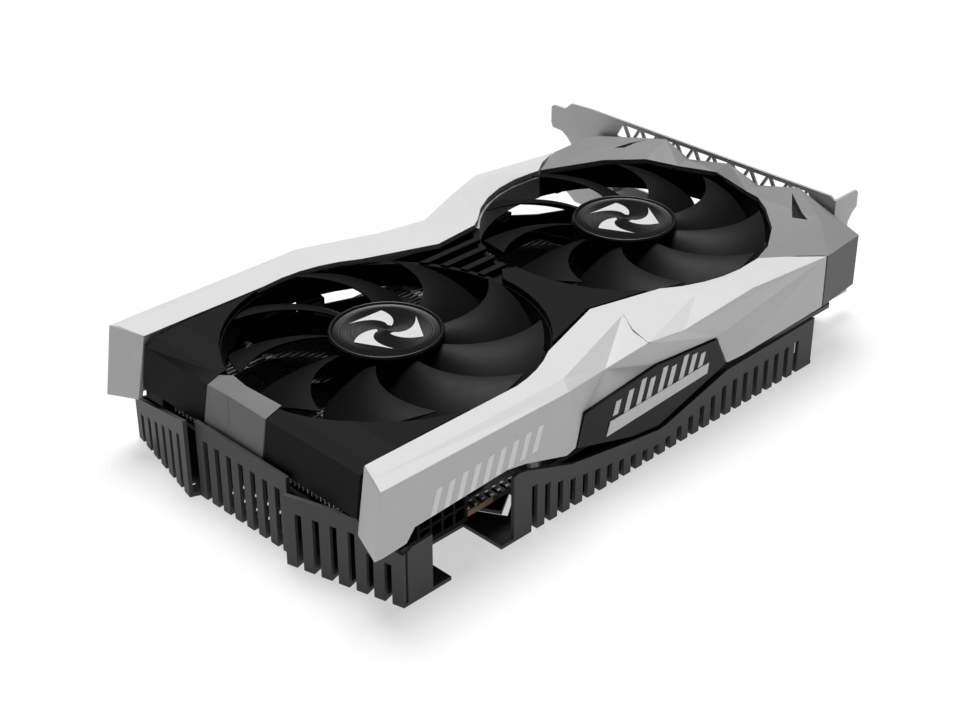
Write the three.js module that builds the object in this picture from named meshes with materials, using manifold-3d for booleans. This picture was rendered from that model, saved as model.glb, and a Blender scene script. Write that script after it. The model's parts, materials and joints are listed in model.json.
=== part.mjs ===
// A dual-fan, dual-slot graphics card, in millimetres, +Z up.
// The card lies on its backplate with its fans on top. +X points at the I/O bracket,
// +Y at the edge connector, and -Y at the side that carries the light bar.
// The origin is on the underside of the backplate, midway between the two fan axes.
import * as THREE from 'three';
import { mergeVertices } from 'three/addons/utils/BufferGeometryUtils.js';
import Module from 'manifold-3d';

const wasm = await Module();
wasm.setup();

// ---- driving dimensions -------------------------------------------------
const GAP = 0.3; // clearance kept where pieces meet
const FAN_X = 50.5; // each fan axis is this far from the origin
const OPENING_R = 46;
const FAN_R = 44;
const BLADE_COUNT = 9;
const FRONT_Y = -57.5; // outer face of the front side
const REAR_Y = 56.8; // outer face of the rear side
const TOP_Z = 39.7; // crest of the two side trims
const RIM_Z = 38.4; // level of the fan openings
const SKIN = 1.8; // wall of the moulded covers

const PLATE_T = 1.2; // backplate sheet
const PCB = { x0: -93, x1: 97, y0: -49.3, y1: 53.6, z0: 8.9, z1: 10.5 };
const FINGER_Y = 61.85; // tip of the edge connector
const BRACKET = { x0: 101.1, x1: 101.95, z0: 6.1, z1: 43.9 };

const PIPE_R = 3;
const FIN = { z0: 15, z1: 24.6, thickness: 0.5, pitch: 4.05 };
const MOTOR_Z = 25.2; // underside of the fan frames
const RING_Z = 28.6; // lower edge of the wall round each fan opening
const HUB = { r: 16.4, z0: 28.4, z1: 38.6, wall: 1.4 };

// ---- materials ----------------------------------------------------------
function finish(hex, roughness, metalness) {
  return new THREE.MeshStandardMaterial({ color: hex, roughness, metalness });
}

const MATERIAL = {
  silver: finish(0xd9d9da, 0.42, 0.1),
  grey: finish(0x8f8f90, 0.45, 0.1),
  black: finish(0x1c1c1d, 0.5, 0),
  blade: finish(0x151516, 0.42, 0),
  gloss: finish(0x0c0c0d, 0.15, 0),
  sheet: finish(0x37383a, 0.45, 0.6),
  steel: finish(0xb4b5b7, 0.35, 0.9),
  aluminium: finish(0x9d9fa2, 0.4, 0.9),
  copper: finish(0xb8693d, 0.35, 0.9),
  brass: finish(0xc79a3e, 0.35, 0.9),
  board: finish(0x101613, 0.55, 0),
  chip: finish(0x1d1e20, 0.6, 0),
  die: finish(0x6f7780, 0.2, 0.5),
  ferrite: finish(0x55575a, 0.6, 0.2),
  can: finish(0xa9abae, 0.35, 0.8),
  light: finish(0xf2f2f0, 0.4, 0),
};

// ---- from three.js geometry to solids and back ----------------------------
function toSolid(geometry) {
  const bare = geometry.clone();
  bare.deleteAttribute('normal');
  bare.deleteAttribute('uv');
  const merged = mergeVertices(bare, 1e-4);
  const vertProperties = new Float32Array(merged.attributes.position.array);
  const triVerts = new Uint32Array(merged.index.array);
  return new wasm.Manifold(new wasm.Mesh({ numProp: 3, vertProperties, triVerts }));
}

function toGeometry(solid) {
  const mesh = solid.getMesh();
  const geometry = new THREE.BufferGeometry();
  geometry.setAttribute('position', new THREE.BufferAttribute(new Float32Array(mesh.vertProperties), 3));
  geometry.setIndex(new THREE.BufferAttribute(new Uint32Array(mesh.triVerts), 1));
  geometry.computeVertexNormals();
  return geometry;
}

function union(solids) {
  return solids.reduce((whole, solid) => whole.add(solid));
}

// Copies of a neighbour moved by the gap, to cut a piece clear of it.
function aroundOf(neighbour) {
  const moves = [0, 1, 2].flatMap((axis) => [GAP, -GAP].map((step) => (
    [0, 1, 2].map((k) => (k === axis ? step : 0)))));
  return [neighbour, ...moves.map((move) => neighbour.translate(move))];
}

function cut(solid, tools) {
  return tools.reduce((rest, tool) => rest.subtract(tool), solid);
}

function box(x0, x1, y0, y1, z0, z1) {
  const geometry = new THREE.BoxGeometry(x1 - x0, y1 - y0, z1 - z0);
  geometry.translate((x0 + x1) / 2, (y0 + y1) / 2, (z0 + z1) / 2);
  return toSolid(geometry);
}

function outline(points, holes = []) {
  const shape = new THREE.Shape(points.map(([u, v]) => new THREE.Vector2(u, v)));
  holes.forEach((hole) => {
    shape.holes.push(new THREE.Path(hole.map(([u, v]) => new THREE.Vector2(u, v))));
  });
  return shape;
}

function extruded(points, holes, depth) {
  return new THREE.ExtrudeGeometry(outline(points, holes), { depth, bevelEnabled: false });
}

// An outline in X and Y, raised from z0 to z1.
function slab(points, z0, z1, holes = []) {
  const geometry = extruded(points, holes, z1 - z0);
  geometry.translate(0, 0, z0);
  return toSolid(geometry);
}

// An outline in X and Z, swept from y0 to y1.
function slabY(points, y0, y1, holes = []) {
  const geometry = extruded(points, holes, y1 - y0);
  geometry.rotateX(Math.PI / 2);
  geometry.translate(0, y1, 0);
  return toSolid(geometry);
}

// An outline in Y and Z, swept from x0 to x1.
function slabX(points, x0, x1, holes = []) {
  const geometry = extruded(points, holes, x1 - x0);
  geometry.rotateX(Math.PI / 2);
  geometry.rotateZ(Math.PI / 2);
  geometry.translate(x0, 0, 0);
  return toSolid(geometry);
}

function post(x, y, z0, z1, radius, sides = 24) {
  const geometry = new THREE.CylinderGeometry(radius, radius, z1 - z0, sides);
  geometry.rotateX(Math.PI / 2);
  geometry.translate(x, y, (z0 + z1) / 2);
  return toSolid(geometry);
}

function ring(x, y, z0, z1, inner, outer, sides = 48) {
  return post(x, y, z0, z1, outer, sides).subtract(post(x, y, z0 - 1, z1 + 1, inner, sides));
}

// A profile of radius and height, turned about a vertical axis through x, y.
function turned(profile, x, y, sides) {
  const geometry = new THREE.LatheGeometry(profile.map(([r, z]) => new THREE.Vector2(r, z)), sides);
  geometry.rotateX(Math.PI / 2);
  geometry.translate(x, y, 0);
  return toSolid(geometry);
}

function tube(points, radius, sides, steps) {
  const circle = new THREE.Shape();
  circle.absarc(0, 0, radius, 0, 2 * Math.PI, false);
  const options = { steps, extrudePath: smooth(points), curveSegments: sides / 2 };
  return toSolid(new THREE.ExtrudeGeometry(circle, options));
}

function smooth(points) {
  return new THREE.CatmullRomCurve3(points.map((p) => new THREE.Vector3(...p)), false, 'centripetal');
}

// ---- faceted skins ---------------------------------------------------------
// Triangles that fill the band between two polylines, taking the shorter step each time.
function band(rowA, rowB) {
  const at = (row, i) => new THREE.Vector3(...row[i]);
  const triangles = [];
  let i = 0;
  let j = 0;
  while (i < rowA.length - 1 || j < rowB.length - 1) {
    const canA = i < rowA.length - 1;
    const canB = j < rowB.length - 1;
    const stepA = canA ? at(rowA, i + 1).distanceTo(at(rowB, j)) : Infinity;
    const stepB = canB ? at(rowB, j + 1).distanceTo(at(rowA, i)) : Infinity;
    if (stepA <= stepB) {
      triangles.push([rowA[i], rowB[j], rowA[i + 1]]);
      i += 1;
    } else {
      triangles.push([rowA[i], rowB[j], rowB[j + 1]]);
      j += 1;
    }
  }
  return triangles;
}

function fan(points) {
  return points.slice(2).map((point, i) => [points[0], points[i + 1], point]);
}

// A closed shell: the outer triangles, an inner copy moved in along the corner normals,
// and walls around the open edge.
function shell(triangles, thickness) {
  const corners = new Map();
  const cornerOf = (p) => {
    const key = p.map((v) => v.toFixed(3)).join();
    if (!corners.has(key)) {
      corners.set(key, { at: new THREE.Vector3(...p), faces: [], index: corners.size });
    }
    return corners.get(key);
  };
  const faces = triangles.map((triangle) => triangle.map(cornerOf));
  const open = new Map();
  faces.forEach(([a, b, c]) => {
    const normal = new THREE.Triangle(a.at, b.at, c.at).getNormal(new THREE.Vector3());
    [a, b, c].forEach((corner) => corner.faces.push(normal));
    [[a, b], [b, c], [c, a]].forEach(([from, to]) => {
      if (!open.delete(`${to.index},${from.index}`)) {
        open.set(`${from.index},${to.index}`, [from, to]);
      }
    });
  });
  const list = [...corners.values()];
  const inward = list.map((corner) => {
    const mean = corner.faces.reduce((sum, n) => sum.add(n), new THREE.Vector3()).normalize();
    const reach = Math.max(0.55, Math.min(...corner.faces.map((n) => n.dot(mean))));
    return corner.at.clone().addScaledVector(mean, -thickness / reach);
  });
  const positions = [...list.map((corner) => corner.at), ...inward].flatMap((v) => [v.x, v.y, v.z]);
  const back = list.length;
  const index = [];
  faces.forEach(([a, b, c]) => {
    index.push(a.index, b.index, c.index);
    index.push(back + c.index, back + b.index, back + a.index);
  });
  open.forEach(([from, to]) => {
    index.push(to.index, from.index, back + from.index);
    index.push(to.index, back + from.index, back + to.index);
  });
  return new wasm.Manifold(new wasm.Mesh({
    numProp: 3,
    vertProperties: new Float32Array(positions),
    triVerts: new Uint32Array(index),
  }));
}

// Points on the rim of a fan opening, from one angle to another, in degrees.
function rimArc(side, from, to, count, radius = OPENING_R, z = RIM_Z) {
  return Array.from({ length: count + 1 }, (_, i) => {
    const angle = THREE.MathUtils.degToRad(from + ((to - from) * i) / count);
    return [side * FAN_X + radius * Math.cos(angle), radius * Math.sin(angle), z];
  });
}

// ---- the assembly ------------------------------------------------------------
const card = new THREE.Group();

function add(name, solid, material) {
  const mesh = new THREE.Mesh(toGeometry(solid), material);
  mesh.name = name;
  card.add(mesh);
}

// ---- backplate: a folded sheet with slotted walls -------------------------------
const WALL = { slotWidth: 2.1, slotTopMargin: 5, slotReach: 4 };

// A wall that stands on the sheet from point a to point b, seen from outside with b to the
// right of a. Its top follows pairs of distance from a and height.
function wall(a, b, top, slots) {
  const length = Math.hypot(b[0] - a[0], b[1] - a[1]);
  const angle = Math.atan2(b[1] - a[1], b[0] - a[0]);
  const place = (geometry) => {
    geometry.rotateZ(angle);
    geometry.translate(a[0], a[1], 0);
    return toSolid(geometry);
  };
  const panel = extruded([[0, 0], [length, 0], ...top.slice().reverse()], [], PLATE_T);
  panel.rotateX(Math.PI / 2);
  panel.translate(0, PLATE_T, 0);
  const heightAt = (s) => {
    const k = Math.max(1, top.findIndex(([distance]) => distance >= s));
    const [s0, h0] = top[k - 1];
    const [s1, h1] = top[k];
    return h0 + ((h1 - h0) * (s - s0)) / (s1 - s0);
  };
  const openings = Array.from({ length: slots.count }, (_, i) => {
    const s = slots.first + i * slots.pitch;
    const height = heightAt(s) - WALL.slotTopMargin + 1;
    const slot = new THREE.BoxGeometry(WALL.slotWidth, WALL.slotReach + 1, height);
    slot.translate(s, WALL.slotReach / 2 - 0.5, height / 2 - 1);
    return place(slot);
  });
  return { panel: place(panel), openings };
}

function backplate() {
  const outlinePoints = [
    [-98.2, FRONT_Y], [-81.5, FRONT_Y], [-81.5, -43], [-63, -43], [-63, FRONT_Y],
    [75.4, FRONT_Y], [75.4, 48], [-46, 48], [-46, 56.2], [-98.3, 56.2],
    [-106.8, 20.6], [-104, 19.4], [-104, -20], [-107.2, -22.1],
  ];
  const chevron = [[-57, -40], [-52, -49], [-43, -43], [-43, -41], [-51.5, -46.3], [-55, -40]];
  const vents = [12, 6.5, 1, -4.5].map((y) => box(-100, -91, y, y + 2.4, -1, PLATE_T + 1));
  const walls = [
    wall([-58.3, FRONT_Y], [75.1, FRONT_Y], [
      [0, 20.8], [2, 21.3], [5.3, 20.5], [22.4, 14.5], [47.3, 10.5], [59.4, 8.8], [63, 9.2],
      [90.3, 15.8], [133.4, 16.4],
    ], { count: 24, first: 7.9, pitch: 5.09 }),
    wall([-96.6, FRONT_Y], [-88, FRONT_Y], [[0, 16.6], [2, 17.7], [8.6, 17.9]], { count: 0 }),
    wall([-107.2, -22.1], [-98.2, FRONT_Y], [[0, 22], [23, 22.8], [25.5, 18.4], [36.5, 16.4]],
      { count: 6, first: 4.4, pitch: 5.5 }),
    wall([-104, 19], [-104, -19.6], [[0, 24.6], [38.6, 24.4]], { count: 7, first: 4, pitch: 5.1 }),
    wall([-98.3, 56.2], [-106.8, 20.6], [[0, 13.5], [36.6, 25]], { count: 6, first: 4.4, pitch: 5.5 }),
    wall([-48, 56.2], [-98, 56.2], [[0, 8], [30, 9.5], [50, 13.3]], { count: 8, first: 6, pitch: 5.4 }),
  ];
  const sheet = cut(slab(outlinePoints, 0, PLATE_T, [chevron]), vents);
  const folded = union([sheet, ...walls.map((w) => w.panel)]);
  return cut(folded, walls.flatMap((w) => w.openings));
}

add('backplate', backplate(), MATERIAL.sheet);

// ---- I/O bracket ---------------------------------------------------------------
function bracket() {
  const { x0, x1, z0, z1 } = BRACKET;
  const tongue = (z) => [[70.5, z], [73.2, z + 1.6], [77.6, z + 1.8], [78.4, z + 3.5], [78.4, z + 9.4],
    [77.4, z + 10.2], [72.6, z + 10.2]];
  const face = [
    [-43, z0], [66, z0], ...tongue(9.2), [71.2, 22.5], [68.5, 24.5], [68.5, 28],
    ...tongue(30.2).slice(0, 6), [71.9, 40.6], [69, 43.3], [59.4, z1], [-41.5, z1], [-43, 42.8],
  ];
  const plate = slabX(face, x0, x1);
  const flange = slabY([
    [x0, z0], [113.4, z0], [113.4, 15.5], [109.3, 16.5], [109.3, 33], [111.2, 35.6],
    [113.4, 37], [113.4, 41.8], [112.6, z1 - 1], [x0, z1 - 1],
  ], -43.9, -43);
  const triangles = [];
  for (const [low, high] of [[30.7, 35.7], [37.5, 42.5]]) {
    for (let i = 0; i < 21; i += 1) {
      const y = -33.1 + i * 3.9;
      const base = i % 2 === 0 ? low : high;
      const apex = i % 2 === 0 ? high : low;
      triangles.push(slabX([[y - 2.8, base], [y + 2.8, base], [y, apex]], x0 - 1, x1 + 1));
    }
  }
  const ports = PORTS.map(({ y, width, z0: low, z1: high }) => (
    box(x0 - 1, x1 + 1, y - width / 2 - GAP, y + width / 2 + GAP, low - GAP, high + GAP)));
  const slots = [-33, -20, -7, 6, 19, 32].map((y) => box(x0 - 1, x1 + 1, y, y + 9.5, 20.6, 27.6));
  const screwHoles = BRACKET_SCREW_Y.map((y) => slabX(circlePoints(y, SCREW_Z, 1.6), x0 - 1, x1 + 1));
  return cut(plate.add(flange), [...triangles, ...ports, ...slots, ...screwHoles]);
}

function circlePoints(u, v, radius, sides = 12) {
  return Array.from({ length: sides }, (_, i) => {
    const angle = (2 * Math.PI * i) / sides;
    return [u + radius * Math.cos(angle), v + radius * Math.sin(angle)];
  });
}

const PORTS = [
  { name: 'display_port_1', y: -29, width: 16.4, z0: 10.5, z1: 16.4 },
  { name: 'display_port_2', y: -8, width: 16.4, z0: 10.5, z1: 16.4 },
  { name: 'hdmi_port', y: 12.5, width: 15, z0: 10.5, z1: 16 },
  { name: 'display_port_3', y: 33, width: 16.4, z0: 10.5, z1: 16.4 },
];
const BRACKET_SCREW_Y = [-40, 46];
const SCREW_Z = 18.4;

add('io_bracket', bracket(), MATERIAL.steel);

function port({ y, width, z0, z1 }) {
  const can = box(84, 101.6, y - width / 2, y + width / 2, z0, z1);
  const mouth = box(88, 103, y - width / 2 + 0.7, y + width / 2 - 0.7, z0 + 0.7, z1 - 0.7);
  const tongue = box(87, 101, y - width / 2 + 2.4, y + width / 2 - 2.4, z0 + 2.3, z1 - 2.3);
  return can.subtract(mouth).add(tongue);
}

PORTS.forEach((socket) => add(socket.name, port(socket), MATERIAL.steel));

// Each screw holds the bracket to a tapped ear on the card side.
BRACKET_SCREW_Y.forEach((y, i) => {
  const shank = slabX(circlePoints(y, SCREW_Z, 1.25), 97.6, BRACKET.x1 + 0.3);
  const head = slabX(circlePoints(y, SCREW_Z, 2.8, 16), BRACKET.x1 + 0.05, BRACKET.x1 + 1.9);
  const cross = [
    box(BRACKET.x1 + 1, BRACKET.x1 + 3, y - 1.6, y + 1.6, SCREW_Z - 0.35, SCREW_Z + 0.35),
    box(BRACKET.x1 + 1, BRACKET.x1 + 3, y - 0.35, y + 0.35, SCREW_Z - 1.6, SCREW_Z + 1.6),
  ];
  add(`bracket_screw_${i + 1}`, cut(shank.add(head), cross), MATERIAL.steel);
});

// ---- circuit board -----------------------------------------------------------------
// The edge connector: a short power block and a long data block either side of the key.
const CONTACTS = { power: [40.4, 52.1], data: [-33.2, 38.4] };
const STANDOFFS = [[-84, -34], [-84, 40], [66, -44], [66, 42]];
const DIE = { x: 14, y: -3 };
const COOLER_SCREWS = [[-24, -24], [24, -24], [-24, 24], [24, 24]].map(([x, y]) => [DIE.x + x, DIE.y + y]);

function board() {
  const { x0, x1, y0, y1, z0, z1 } = PCB;
  const { power, data } = CONTACTS;
  const points = [
    [x0, y0], [x1 - 1.5, y0], [x1, y0 + 1.5], [x1, y1],
    [power[1] + 1, y1], [power[1] + 1, FINGER_Y - 0.8], [power[1], FINGER_Y],
    [power[0] - 0.4, FINGER_Y], [power[0] - 0.4, y1 - 1],
    [data[1] + 0.5, y1 - 1], [data[1] + 0.5, FINGER_Y], [data[0], FINGER_Y],
    [data[0] - 1, FINGER_Y - 0.8], [data[0] - 1, y1],
    [data[0] - 3, y1], [data[0] - 3, FINGER_Y - 1], [data[0] - 6.5, FINGER_Y - 1],
    [data[0] - 6.5, y1 - 2], [data[0] - 8, y1 - 2], [data[0] - 8, y1], [x0, y1],
  ];
  const holes = [...STANDOFFS, ...COOLER_SCREWS].map(([x, y]) => circlePoints(x, y, 1.6, 12));
  holes.push(circlePoints(93.3, -45.8, 1.6, 12));
  return slab(points, z0, z1, holes);
}

add('pcb', board(), MATERIAL.board);

Object.entries(CONTACTS).forEach(([name, [start, end]]) => {
  const [y0, y1] = [PCB.y1 + 0.6, FINGER_Y - 0.9];
  add(`contacts_${name}_top`, box(start, end, y0, y1, PCB.z1, PCB.z1 + 0.15), MATERIAL.brass);
  add(`contacts_${name}_bottom`, box(start, end, y0, y1, PCB.z0 - 0.15, PCB.z0), MATERIAL.brass);
});

STANDOFFS.forEach(([x, y], i) => {
  const spacer = post(x, y, PLATE_T, PCB.z0, 2.6, 6);
  const stud = post(x, y, PCB.z0 - 0.5, PCB.z1 + 1.6, 1.2, 12);
  add(`standoff_${i + 1}`, spacer.add(stud), MATERIAL.brass);
});

function retentionBracket() {
  const arm = (a, b) => {
    const length = Math.hypot(b[0] - a[0], b[1] - a[1]);
    const geometry = new THREE.BoxGeometry(length + 6, 7, 1.4);
    geometry.rotateZ(Math.atan2(b[1] - a[1], b[0] - a[0]));
    geometry.translate((a[0] + b[0]) / 2, (a[1] + b[1]) / 2, 5.9);
    return toSolid(geometry);
  };
  const screws = COOLER_SCREWS.map(([x, y]) => union([
    post(x, y, 5, 8.7, 1.9, 8),
    post(x, y, 4.2, 5.2, 3.1, 12),
    post(x, y, 6, 12.2, 1.3, 8),
  ]));
  const [a, b, c, d] = COOLER_SCREWS;
  return union([arm(a, d), arm(b, c), ...screws]);
}

add('retention_bracket', retentionBracket(), MATERIAL.steel);

// ---- processor, memory and power stage ---------------------------------------------
add('gpu_package', box(DIE.x - 20, DIE.x + 20, DIE.y - 20, DIE.y + 20, PCB.z1, 11.8), MATERIAL.board);
add('gpu_die', box(DIE.x - 9.5, DIE.x + 9.5, DIE.y - 11.5, DIE.y + 11.5, 11.8, 12.5), MATERIAL.die);

// Memory chips stand round the processor, two on each of three sides.
const MEMORY = [[-31, -11], [-31, 7], [-9, -34], [9, -34], [33, -11], [33, 7]];
MEMORY.forEach(([u, v], i) => {
  const [x, y] = [DIE.x + u, DIE.y + v];
  add(`memory_${i + 1}`, box(x - 6, x + 6, y - 7, y + 7, PCB.z1, 11.7), MATERIAL.chip);
});

function choke(x, y) {
  const side = 3.4;
  const corner = 2.6;
  const plan = [[-side, -corner], [-corner, -side], [corner, -side], [side, -corner],
    [side, corner], [corner, side], [-corner, side], [-side, corner]];
  return slab(plan.map(([u, v]) => [x + u, y + v]), PCB.z1, 14.3);
}

for (let i = 0; i < 5; i += 1) {
  add(`choke_${i + 1}`, choke(-58, -40 + i * 15), MATERIAL.ferrite);
}
for (let i = 0; i < 3; i += 1) {
  const [x, y] = [-40 + i * 9, -45.8];
  const profile = [[0, PCB.z1], [3.1, PCB.z1], [3.1, 17], [2.7, 17.6], [0, 17.6]];
  add(`capacitor_${i + 1}`, turned(profile, x, y, 18), MATERIAL.can);
}

// The supplementary power header: two rows of four square cells that open to the front.
function powerConnector() {
  const { x0, x1, y0, y1, z0, z1 } = { x0: -88.3, x1: -70, y0: -52, y1: -40, z0: PCB.z1, z1: 20.4 };
  const pitch = 4.2;
  const cell = 3.3;
  const parts = [box(x0, x1, y0, y1, z0, z1), box(-82.5, -75.8, y0 + 1, y0 + 8, z1 - 0.1, z1 + 1.3)];
  const cells = [];
  const pins = [];
  for (let column = 0; column < 4; column += 1) {
    for (let row = 0; row < 2; row += 1) {
      const x = (x0 + x1) / 2 + (column - 1.5) * pitch;
      const z = (z0 + z1) / 2 + (row - 0.5) * pitch;
      cells.push(box(x - cell / 2, x + cell / 2, y0 - 1, y0 + 9, z - cell / 2, z + cell / 2));
      pins.push(box(x - 0.5, x + 0.5, y0 + 1.5, y0 + 10, z - 0.5, z + 0.5));
    }
  }
  return union([cut(union(parts), cells), ...pins]);
}

add('power_connector', powerConnector(), MATERIAL.black);

// ---- cooler --------------------------------------------------------------------------
const PIPE_Z = 17.9;
const PIPE_STEPS = 16;
const PIPES = [
  [[44, -15], [27, -13], [-5, -13], [-32, -25], [-52, -27], [-92, -27]],
  [[44, -3], [15, -3], [-35, -3], [-92, -3]],
  [[44, 9], [27, 7], [-5, 7], [-32, 19], [-52, 21], [-92, 21]],
];
const pipeRoute = (points) => points.map(([x, y]) => [x, y, PIPE_Z]);

add('cold_plate', box(DIE.x - 26, DIE.x + 26, DIE.y - 22, DIE.y + 22, 12.55, 14.7), MATERIAL.copper);
PIPES.forEach((points, i) => {
  add(`heat_pipe_${i + 1}`, tube(pipeRoute(points), PIPE_R, 8, PIPE_STEPS), MATERIAL.copper);
});

// The straight-sided groove that a pipe lies in.
function channel(points) {
  const path = smooth(pipeRoute(points));
  const reach = PIPE_R + GAP;
  const sideAt = (sign) => Array.from({ length: PIPE_STEPS + 1 }, (_, i) => {
    const middle = path.getPointAt(i / PIPE_STEPS);
    const along = path.getTangentAt(i / PIPE_STEPS);
    const past = (i === 0 ? -GAP : 0) + (i === PIPE_STEPS ? GAP : 0);
    return [
      middle.x - sign * reach * along.y + past * along.x,
      middle.y + sign * reach * along.x + past * along.y,
    ];
  });
  return slab([...sideAt(-1), ...sideAt(1).reverse()], FIN.z0 - 1, PIPE_Z + reach);
}

// Fins run along X. The last ones, behind stepY, stop short at stepX.
function finStack({ x0, x1, y0, y1, stepX, stepY, ties }) {
  const { z0, z1, thickness, pitch } = FIN;
  const count = Math.floor((y1 - y0) / pitch) + 1;
  const fins = Array.from({ length: count }, (_, i) => {
    const y = y0 + i * pitch;
    return box(x0, y < stepY ? x1 : stepX, y, y + thickness, z0, z1);
  });
  const last = y0 + (count - 1) * pitch + thickness;
  const bars = ties.map((x) => box(x - 1.5, x + 1.5, y0, last, z1 - 0.8, z1));
  return cut(union([...fins, ...bars]), PIPES.map(channel));
}

const STACKS = {
  main: { x0: -18, x1: 46, y0: -41, y1: 43, stepX: 24, stepY: 30, ties: [-10, 16] },
  tail: { x0: -96, x1: -40, y0: -37.6, y1: 41, stepX: -66, stepY: 35, ties: [-89, -71] },
};
Object.entries(STACKS).forEach(([name, stack]) => {
  add(`fin_stack_${name}`, finStack(stack), MATERIAL.aluminium);
});

// ---- fans ----------------------------------------------------------------------------
// A frame of three arms, each ending in a foot, holds the motor under its opening.
function fanFrame(side) {
  const x = side * FAN_X;
  const arms = [90, 210, 330].map((degrees) => {
    const reach = box(13.5, 47.5, -2.5, 2.5, MOTOR_Z, MOTOR_Z + 2.2);
    const foot = box(44.2, 47.5, -4, 4, MOTOR_Z, RING_Z - GAP);
    return reach.add(foot).rotate([0, 0, degrees + 12 * side]).translate([x, 0, 0]);
  });
  return union([post(x, 0, MOTOR_Z, MOTOR_Z + 2, 15), ...arms]);
}

function motor(side) {
  const z0 = MOTOR_Z + 2;
  const poles = Array.from({ length: 6 }, (_, i) => {
    const geometry = new THREE.BoxGeometry(8, 3, 5);
    geometry.translate(6.2, 0, z0 + 4.2);
    geometry.rotateZ((i * Math.PI) / 3);
    geometry.translate(side * FAN_X, 0, 0);
    return toSolid(geometry);
  });
  const sleeve = ring(side * FAN_X, 0, z0, 36, 1.9, 3.6, 12);
  const foot = ring(side * FAN_X, 0, z0, z0 + 0.9, 1.9, 11, 12);
  const bore = post(side * FAN_X, 0, z0 - 1, 40, 3, 12);
  return union([sleeve, foot, ...poles.map((pole) => pole.subtract(bore))]);
}

// A swept blade. Across its chord it falls from the leading edge at the top.
function blade(angle) {
  const stations = 3;
  const chordPoints = 3;
  const sweep = THREE.MathUtils.degToRad(27);
  const rootAngle = angle - sweep;
  const upper = [];
  const lower = [];
  for (let i = 0; i <= stations; i += 1) {
    const t = i / stations;
    const r = HUB.r - 1 + (FAN_R - HUB.r + 1) * t;
    const lead = rootAngle + sweep * t ** 1.5;
    const chord = THREE.MathUtils.degToRad(30 + 3 * t);
    const top = 36.4 + 1.6 * t;
    const drop = 7.6 - 0.6 * t;
    const thickness = 1.5 - 0.6 * t;
    for (let j = 0; j <= chordPoints; j += 1) {
      const s = j / chordPoints;
      const theta = lead - chord * s;
      const z = top - drop * s ** 0.8;
      const half = thickness * (0.35 + 0.65 * Math.sin(Math.PI * Math.min(1, s + 0.12)) ** 0.5) * 0.5;
      upper.push([r * Math.cos(theta), r * Math.sin(theta), z + half]);
      lower.push([r * Math.cos(theta), r * Math.sin(theta), z - half]);
    }
  }
  const row = chordPoints + 1;
  const faces = [];
  const quad = (a, b, c, d) => faces.push(a, b, c, a, c, d);
  const low = upper.length;
  for (let i = 0; i < stations; i += 1) {
    for (let j = 0; j < chordPoints; j += 1) {
      const k = i * row + j;
      quad(k, k + 1, k + row + 1, k + row);
      quad(low + k, low + k + row, low + k + row + 1, low + k + 1);
    }
    const start = i * row;
    const end = start + chordPoints;
    quad(start, start + row, low + start + row, low + start);
    quad(end, low + end, low + end + row, end + row);
  }
  for (let j = 0; j < chordPoints; j += 1) {
    const tip = stations * row + j;
    quad(j, low + j, low + j + 1, j + 1);
    quad(tip, tip + 1, low + tip + 1, low + tip);
  }
  return new wasm.Manifold(new wasm.Mesh({
    numProp: 3,
    vertProperties: new Float32Array([...upper, ...lower].flat()),
    triVerts: new Uint32Array(faces),
  }));
}

function rotor(side) {
  const { r, z0, z1, wall: thick } = HUB;
  const cup = turned([
    [0, z1], [0, z1 - thick], [r - thick, z1 - thick], [r - thick, z0], [r, z0], [r, z1 - 1],
    [r - 1, z1], [0, z1],
  ], 0, 0, 24);
  const bore = post(0, 0, z0 - 1, z1 - thick - 0.1, r - thick, 24);
  const first = THREE.MathUtils.degToRad(5);
  const blades = Array.from({ length: BLADE_COUNT }, (_, i) => (
    blade(first + (i * 2 * Math.PI) / BLADE_COUNT).subtract(bore)));
  return union([cup, ...blades]).translate([side * FAN_X, 0, 0]);
}

[['left', -1], ['right', 1]].forEach(([name, side]) => {
  const x = side * FAN_X;
  add(`fan_frame_${name}`, fanFrame(side), MATERIAL.black);
  add(`fan_motor_${name}`, motor(side), MATERIAL.copper);
  add(`fan_shaft_${name}`, post(x, 0, MOTOR_Z + 2.4, HUB.z1 - HUB.wall, 1.5, 16), MATERIAL.steel);
  add(`fan_rotor_${name}`, rotor(side), MATERIAL.blade);
  add(`hub_cap_${name}`, turned([
    [0, HUB.z1], [15.6, HUB.z1], [16.4, HUB.z1 + 0.5], [16.2, HUB.z1 + 1], [15.4, HUB.z1 + 1.1],
    [14.9, HUB.z1 + 0.8], [0, HUB.z1 + 0.8],
  ], x, 0, 24), MATERIAL.gloss);
});

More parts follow.
